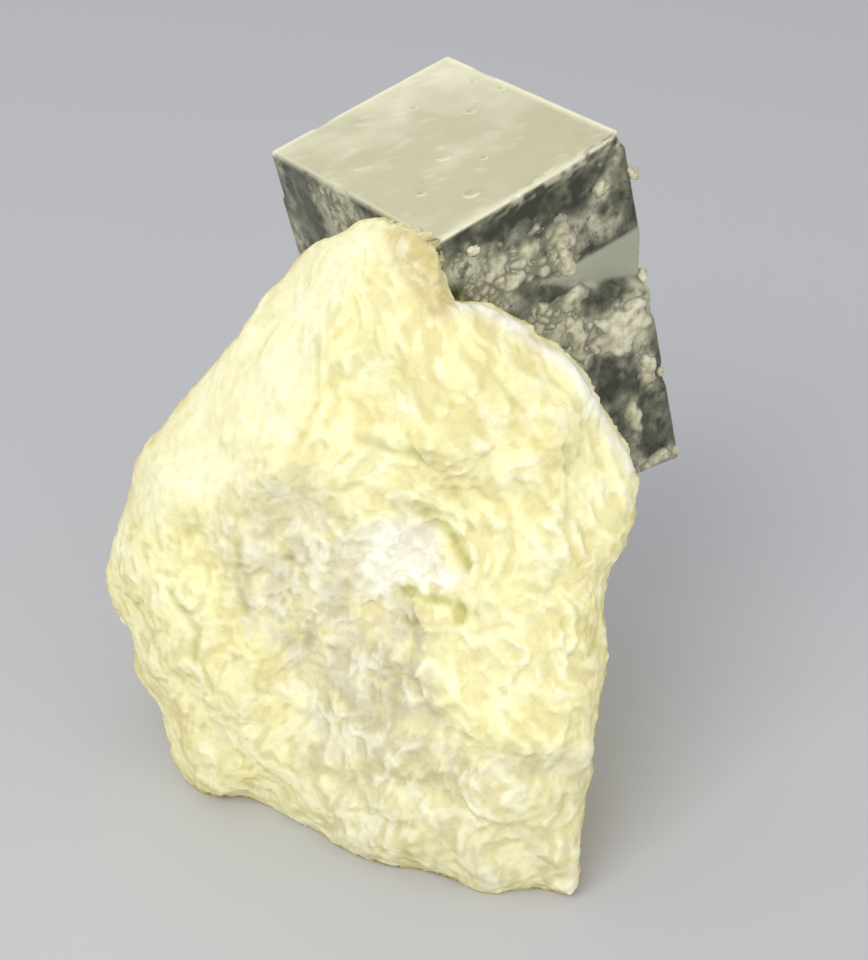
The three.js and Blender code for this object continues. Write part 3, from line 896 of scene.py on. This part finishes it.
def crust_height(side, u, v, flat, thick, blobs, seed):
    """How far a crust stands out from the crystal's face, in mm, negative where it is hidden."""
    bend = np.column_stack([lumps(flat, 1.3, seed + shift) for shift in (0, 2, 4)])
    patchy = layers(flat, (0.7, 2.6, seed), (0.5, 1.1, seed + 3))
    spread = smoothstep(*SPREAD_FADE, patchy - 0.1 + cover(side, u, v))
    cells = cobbles(flat + 0.5 * bend, COBBLE)
    grit = GRIT * thick * lumps(flat, 0.6, seed + 8)
    height = thick * (spread * (SUNK + 0.9 * cells) - SUNK)
    height += grit * spread
    for at_u, at_v, wide, tall, rise in blobs:
        aside = (u - at_u) / wide + BLOB_RAG * bend[:, 0]
        below = (v - at_v) / tall + BLOB_RAG * bend[:, 1]
        dome = np.clip(1 - (aside ** 2 + below ** 2), 0, None) ** BLOB_POWER
        height = np.maximum(height, rise * dome * (0.75 + 0.35 * cells) + grit - 0.05)
    return height


def crust(side, step, thick, blobs, seed):
    """A crust over one side. Blobs are (across, down, radius across, radius down, height)."""
    start, along, spans = SIDES[side]
    inner = np.array(spans) - 2 * INSET
    columns, lines = (int(span / step) for span in inner)
    clear_selection()
    bpy.ops.mesh.primitive_grid_add(x_subdivisions=columns, y_subdivisions=lines, size=1)
    sheet = bpy.context.object
    sheet.name = sheet.data.name = "marl_crust_" + side
    # The grid goes from -0.5 to 0.5 both ways, so this turns its places into mm on the side.
    u, v = (positions(sheet)[:, :2] * MM + 0.5).T * inner[:, None] + INSET
    out = np.cross(DOWN, along)
    flat = np.array(start) + u[:, None] * along + v[:, None] * DOWN
    height = crust_height(side, u, v, flat, thick, blobs, seed)
    rim = np.minimum(np.minimum(u, spans[0] - u), np.minimum(v, spans[1] - v)) - INSET
    height = np.where(rim < RIM, -HIDDEN, np.maximum(height, -HIDDEN))
    thin = 0 if side.startswith("front") else -THIN_FADE
    store(sheet, thickness=smoothstep(thin, thin + THIN_FADE, height))
    height += np.array([surface_height(place, out) for place in flat])
    set_positions(sheet, from_crystal(flat + height[:, None] * out))
    edit_all(sheet)
    bpy.ops.mesh.extrude_region_move()
    bpy.ops.transform.translate(value=Vector(-(crystal_axes @ out)) * SHEET_DEPTH * MM)
    bpy.ops.mesh.select_all(action="SELECT")
    bpy.ops.mesh.normals_make_consistent(inside=False)
    take(sheet)
    bpy.ops.object.shade_smooth()
    return sheet


FRONT_RIGHT_BLOBS = [
    (5.3, 5.0, 1.2, 1.0, 0.3), (8.4, 5.4, 1.3, 1.1, 0.35), (6.4, 7.4, 1.5, 0.9, 0.35),
    (12.0, 6.0, 1.0, 1.6, 0.4), (12.0, 8.6, 0.8, 1.5, 0.75), (16.8, 3.8, 0.8, 1.0, 0.45),
    (11.8, 12.2, 1.6, 1.1, 0.3), (11.5, 16.6, 0.8, 2.6, 0.5), (16.4, 17.8, 3.0, 2.3, 0.6),
    (18.2, 23.6, 0.8, 2.0, 0.85), (15.8, 27.4, 0.8, 1.9, 0.45), (17.2, 33.6, 2.0, 0.8, 0.3),
]
crusts = [
    crust("front_right", 0.2, 0.2, FRONT_RIGHT_BLOBS, 3.0),
    crust("front_left", 0.26, 0.18, [(10.5, 3.0, 1.2, 0.9, 0.25)], 11.0),
    crust("back_right", 0.28, 0.22, [(5, 30, 1.5, 1.2, 0.6), (12, 31, 1.2, 0.9, 0.6)], 17.0),
    crust("back_left", 0.28, 0.22, [(14, 27, 1.4, 1.1, 0.6), (9, 32, 1.6, 1.0, 0.6)], 23.0),
]
print("crust faces:", [len(sheet.data.polygons) for sheet in crusts])


# %% [markdown]
# ## Crumbs on the crystal's edges
# A few hard, pale grains of marl are stuck to the crystal, mostly along its right-hand edge. Each
# starts as a small round ball and is pressed out of shape, then they are joined into one piece.

# %% Crumbs
# Each crumb: its place in the crystal's own axes and its radius.
CRUMBS = [
    (20.1, 0.1, -4.1, 0.6), (20.35, 1.5, -15.1, 0.6), (19.6, 0.3, -24.8, 0.4),
    (19.5, 0.2, -34.0, 0.5), (0.3, 24.7, -3.0, 0.25), (3.3, -0.1, -2.4, 0.55),
]
# How strongly, and how many radii wide, the lumps are that press it out of shape.
PRESS, PRESS_WIDTH = 0.7, 1.4
GRAIN, GRAIN_WIDTH = 0.25, 0.6


def crumb(x, y, z, radius):
    """One grain of marl, pressed out of round by wide lumps and then by small ones."""
    clear_selection()
    bpy.ops.mesh.primitive_ico_sphere_add(subdivisions=3, radius=radius * MM)
    grain = bpy.context.object
    ball = positions(grain)
    ball *= 1 + PRESS * lumps(ball + (x, y, z), radius * PRESS_WIDTH, 71.0)[:, None]
    ball += GRAIN * radius * lumps(ball + (x, y, z), radius * GRAIN_WIDTH, 77.0)[:, None]
    set_positions(grain, from_crystal(ball + (x, y, z)))
    return grain


grains = [crumb(*place) for place in CRUMBS]
clear_selection()
for grain in grains:
    grain.select_set(True)
bpy.context.view_layer.objects.active = grains[0]
bpy.ops.object.join()
crumbs = bpy.context.object
crumbs.name = crumbs.data.name = "marl_crumbs"
store(crumbs, thickness=np.ones(len(crumbs.data.vertices)))
bpy.ops.object.shade_smooth()
print("crumb faces:", len(crumbs.data.polygons))


# %% [markdown]
# ## Materials
# Every material here starts from a colour ramp over a noise, and lays more colours over it where
# the masks of its mesh say. These helpers make each of those layers one line.

# %% Material helpers
def ramp(tree, source, stops):
    """Adds a colour ramp with (position, hex colour) stops."""
    node = add(tree, "ShaderNodeValToRGB", links={"Fac": source})
    elements = node.color_ramp.elements
    while len(elements) < len(stops):
        elements.new(0.5)
    for element, (place, code) in zip(elements, stops):
        element.position = place
        element.color = linear(code)
    return node.outputs["Color"]


def mask(tree, name):
    """The number that the mesh carries for each vertex under this name."""
    return add(tree, "ShaderNodeAttribute", attribute_name=name).outputs["Fac"]


def stone_noise(tree, width, detail=5, roughness=0.6):
    """Noise whose spots are about this many millimetres wide on the real object."""
    place = add(tree, "ShaderNodeTexCoord").outputs["Object"]
    settings = {"Scale": 1 / (width * MM), "Detail": detail, "Roughness": roughness}
    return add(tree, "ShaderNodeTexNoise", settings, {"Vector": place}).outputs["Fac"]


def feed(tree, socket, value):
    """Joins a socket to another one, or sets it to a number or a hex colour."""
    if isinstance(value, bpy.types.NodeSocket):
        tree.links.new(value, socket)
    else:
        socket.default_value = linear(value) if isinstance(value, str) else value


# The Mix node has sockets for each kind of value. These are the numbers of those for colours.
MIX_SHARE, MIX_LOW, MIX_HIGH = 0, 6, 7
MIX_RESULT = 2


def mix(tree, share, low, high, blend="MIX"):
    """Mixes two colours, each a socket or a hex code, by a share, a socket or a number."""
    node = add(tree, "ShaderNodeMix", data_type="RGBA", blend_type=blend)
    feed(tree, node.inputs[MIX_SHARE], share)
    feed(tree, node.inputs[MIX_LOW], low)
    feed(tree, node.inputs[MIX_HIGH], high)
    return node.outputs[MIX_RESULT]


def times(tree, first, second):
    """Multiplies two numbers, each a socket or a constant."""
    node = add(tree, "ShaderNodeMath", operation="MULTIPLY")
    feed(tree, node.inputs[0], first)
    feed(tree, node.inputs[1], second)
    return node.outputs[0]


def coat(tree, colour, name, amount, code, blend="MIX"):
    """Lays one more colour over the others, where a mask of the mesh says, this strongly."""
    return mix(tree, times(tree, mask(tree, name), amount), colour, code, blend)


def bump(tree, shader, height, distance, strength):
    """Roughens the shading by a height pattern, which is this many mm deep."""
    settings = {"Strength": strength, "Distance": distance * MM}
    node = add(tree, "ShaderNodeBump", settings, {"Height": height})
    tree.links.new(node.outputs["Normal"], shader.inputs["Normal"])


# %% [markdown]
# Marl is a soft lime mudstone. Broken by hand it is dull and earthy, with no gloss at all. Iron
# has stained its rind lemon-cream while the core stays grey. Thin ridges are painted paler, a
# painted highlight, and hollows, pits and creases are painted darker and warmer, a painted shade.

# %% Broken marl
# How many times deeper than the fine grain the crumbs of the weathered sides are.
CRUMBLY = 12


def make_marl():
    """Broken marl with an iron-stained rind: it looks soft, dry and powdery to the eye."""
    material, tree, shader = new_material("broken_marl_iron_stained")
    blotch = stone_noise(tree, 5)
    grain = stone_noise(tree, 0.8, detail=6, roughness=0.65)
    rind = ramp(tree, blotch, [(0.32, "#F4ECAE"), (0.5, "#FAF4BE"), (0.66, "#FDFACE")])
    grey = ramp(tree, blotch, [(0.3, "#CBC4A8"), (0.5, "#DAD4BA"), (0.7, "#E9E5CF")])
    patchy = ramp(tree, stone_noise(tree, 2.2), [(0.36, "#8C8C8C"), (0.56, "#F0F0F0")])
    colour = mix(tree, times(tree, mask(tree, "core"), patchy), rind, grey)
    # Painted highlight: the bevel is painted paler where it faces the lamp.
    colour = coat(tree, colour, "bevel", 0.6, "#FBF8D2")
    colour = coat(tree, colour, "white", 1, "#FBF9E8")
    # Painted highlight: the lip's edge is painted near white.
    colour = coat(tree, colour, "lip", 0.9, "#FFFDF0")
    # Partly stain, partly painted shade under the crystal's corner.
    colour = coat(tree, colour, "stain", 0.85, "#D9CA92")
    # Painted shade in the hollows and pits, and a painted highlight on the ridges.
    colour = coat(tree, colour, "hollow", 0.8, "#E8E3D4", "MULTIPLY")
    colour = coat(tree, colour, "pit", 0.8, "#C6C498", "MULTIPLY")
    colour = coat(tree, colour, "ridge", 0.4, "#FFFDE8")
    ochre = ramp(tree, stone_noise(tree, 9), [(0.42, "#000000"), (0.62, "#FFFFFF")])
    ochre = times(tree, mask(tree, "weathered"), ochre)
    colour = mix(tree, times(tree, ochre, 0.7), colour, "#DDC688", "MULTIPLY")
    speckle = ramp(tree, grain, [(0.36, "#E0D9BC"), (0.54, "#FFFFFF")])
    colour = mix(tree, 0.28, colour, speckle, "MULTIPLY")
    tree.links.new(colour, shader.inputs["Base Color"])
    shader.inputs["Roughness"].default_value = 0.95
    shader.inputs["Specular IOR Level"].default_value = 0.2
    crumbly = times(tree, mask(tree, "weathered"), times(tree, stone_noise(tree, 2.2), CRUMBLY))
    height = add(tree, "ShaderNodeMath", links={0: grain, 1: crumbly})
    bump(tree, shader, height.outputs[0], 0.1, 0.35)
    return material


# %% [markdown]
# The marl that clings to the crystal is the same stone, but greyer and darker, because the
# weathering pyrite has stained it. Where it is thin, the metal shows through as a dark olive.

# %% Clinging marl
def make_crust():
    """Marl stained by the pyrite: dull beige lumps that stand out from the metal around them."""
    material, tree, shader = new_material("clinging_marl_rusty")
    blotch = stone_noise(tree, 1.5, detail=6, roughness=0.65)
    stops = [(0.32, "#959076"), (0.44, "#BFB99B"), (0.56, "#DAD6B9"), (0.7, "#EFEBD3")]
    colour = mix(tree, mask(tree, "thickness"), "#7E7C67", ramp(tree, blotch, stops))
    tree.links.new(colour, shader.inputs["Base Color"])
    shader.inputs["Roughness"].default_value = 0.65
    bump(tree, shader, blotch, 0.12, 0.4)
    return material


# %% [markdown]
# Pyrite is iron sulphide. A clean face has a pale, brass-yellow metal lustre. The side faces have
# a thin olive-brown tarnish, which here is a darker, mottled metal, partly tarnish and partly
# painted shade, with a few painted dark reflections on the front right side. Where the film of
# marl or a pale edge of dust and painted highlight lies over it, the share of metal falls, down
# to a tenth under a thick film.

# %% Pyrite
def make_pyrite():
    """Natural pyrite: a soft pale-brass mirror on top, and on the sides a mottled tarnish painted
    deeper as shade.
    """
    material, tree, shader = new_material("natural_pyrite_tarnished")
    blotch = stone_noise(tree, 3, detail=6, roughness=0.7)
    fine = stone_noise(tree, 0.7, detail=5, roughness=0.65)
    clean = ramp(tree, blotch, [(0.3, "#BEB997"), (0.7, "#D2CDAD")])
    # The top is painted lighter by its wisps and by a painted sheen.
    clean = mix(tree, mask(tree, "wisp"), clean, "#E6E2C4")
    # The side colour is partly tarnish and partly painted shade, deeper than the clean top.
    tarnish = ramp(tree, blotch, [(0.36, "#4C4C43"), (0.52, "#7C7C69"), (0.7, "#AEAD94")])
    # Painted dark reflections on the front right side.
    colour = mix(tree, mask(tree, "dark"), tarnish, "#585A4E")
    colour = mix(tree, mask(tree, "facet"), colour, "#D2D4B8")
    colour = mix(tree, mask(tree, "clean"), colour, clean)
    spots = ramp(tree, fine, [(0.3, "#606060"), (0.56, "#FFFFFF")])
    film = times(tree, mask(tree, "film"), spots)
    colour = mix(tree, film, colour, "#CCC9AC")
    # Pale edges: dust and wear together with painted highlights and glints.
    pale = mask(tree, "pale_edge")
    colour = mix(tree, pale, colour, "#F2ECCB")
    tree.links.new(colour, shader.inputs["Base Color"])
    covered = {0: film, 1: times(tree, pale, 0.7)}
    dull = add(tree, "ShaderNodeMath", operation="MAXIMUM", links=covered)
    settings = {"To Min": 1.0, "To Max": 0.1}
    metal = add(tree, "ShaderNodeMapRange", settings, {"Value": dull.outputs[0]})
    tree.links.new(metal.outputs["Result"], shader.inputs["Metallic"])
    settings = {"From Min": 0.3, "From Max": 0.7, "To Min": 0.26, "To Max": 0.42}
    smear = add(tree, "ShaderNodeMapRange", settings, {"Value": blotch})
    tree.links.new(smear.outputs["Result"], shader.inputs["Roughness"])
    bump(tree, shader, fine, 0.04, 0.2)
    return material


# %% Dress the pieces
def dress(thing, material):
    """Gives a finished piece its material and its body."""
    thing.data.materials.clear()
    thing.data.materials.append(material)
    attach(thing, "root")


dress(stone, make_marl())
dress(crystal, make_pyrite())
rusty_marl = make_crust()
for piece in (*crusts, crumbs):
    dress(piece, rusty_marl)
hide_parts("matrix")
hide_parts("pyrite_cube")
print("dressed:", [piece.name for piece in (stone, crystal, *crusts, crumbs)])

# %% [markdown]
# ## Floor and light
# A plain pale floor, an even pale studio all round, a large soft lamp from the upper left that
# draws the marl's relief, a dimmer one low on the right that fills the shadows, and a dim broad
# one behind that gives the crystal's top its sheen. Sizes and places here are in metres.

# %% Floor
FLOOR_SIZE = 3
clear_selection()
bpy.ops.mesh.primitive_plane_add(size=FLOOR_SIZE, location=(0, 0, 0))
floor = bpy.context.object
floor.name = "floor"
floor_material, _, floor_shader = new_material("matt_pale_card")
floor_shader.inputs["Base Color"].default_value = linear("#C4C4C6")
floor_shader.inputs["Roughness"].default_value = 0.9
floor.data.materials.append(floor_material)


# %% Lamps
LAMP_AIM = Vector((0, 0.01, 0.03))


def lamp(name, place, size, energy):
    """A square lamp of this size and power in watts, aimed at the specimen."""
    data = bpy.data.lights.new(name, "AREA")
    data.size = size
    data.energy = energy
    thing = bpy.data.objects.new(name, data)
    bpy.context.collection.objects.link(thing)
    thing.location = place
    thing.rotation_euler = (LAMP_AIM - Vector(place)).to_track_quat("-Z", "Y").to_euler()
    print(name, "shines from, m:", place)


lamp("key_window", (-0.18, -0.32, 0.38), 0.3, 1.35)
lamp("back_window", (-0.22, 0.5, 0.5), 0.45, 0.36)
lamp("low_fill", (0.28, -0.4, 0.14), 0.4, 0.65)

# %% Studio
world = bpy.data.worlds.new("studio")
bpy.context.scene.world = world
world.use_nodes = True
world.node_tree.nodes["Background"].inputs["Color"].default_value = linear("#F2F4F8")
world.node_tree.nodes["Background"].inputs["Strength"].default_value = 0.66
bpy.context.scene.view_settings.view_transform = "Standard"
